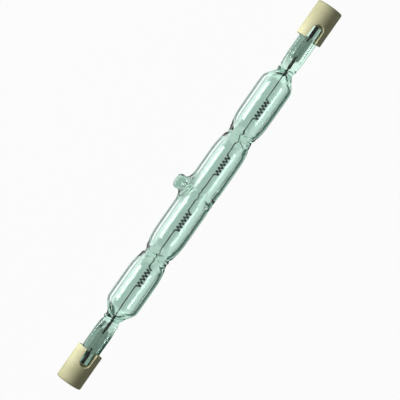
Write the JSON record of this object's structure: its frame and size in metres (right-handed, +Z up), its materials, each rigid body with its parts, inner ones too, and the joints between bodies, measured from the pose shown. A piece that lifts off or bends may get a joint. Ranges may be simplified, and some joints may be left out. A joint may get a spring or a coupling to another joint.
{
  "type": "linear halogen bulb",
  "caption": "Linear double-ended halogen bulb: a pinched quartz tube with a coiled filament, flat press seals and slotted ceramic caps with recessed contacts.",
  "frame": {"origin": "on the lamp axis, half way between the outer ends of the caps", "axes": "+X along the lamp axis, +Z up with the bulb lying on its tube, and the exhaust tip points to +Y and down to the surface that it rests on"},
  "size_m": [0.1176, 0.0118, 0.009],
  "materials": {
    "quartz": "clear fused quartz with a faint green cast",
    "tungsten": "drawn dark grey wire",
    "molybdenum": "rolled grey foil",
    "lead_wire": "oxidised dark wire",
    "ceramic": "unglazed cream steatite",
    "cement": "dull refractory cement",
    "contact": "plated metal"
  },
  "bodies": {
    "root": {"quartz_envelope": "quartz", "filament": "tungsten", "foil_left": "molybdenum", "foil_right": "molybdenum", "inner_lead_left": "lead_wire", "inner_lead_right": "lead_wire", "outer_lead_left": "lead_wire", "outer_lead_right": "lead_wire", "ceramic_cap_left": "ceramic", "ceramic_cap_right": "ceramic", "cement_left": "cement", "cement_right": "cement", "contact_button_left": "contact", "contact_button_right": "contact"}
  },
  "joints": []
}
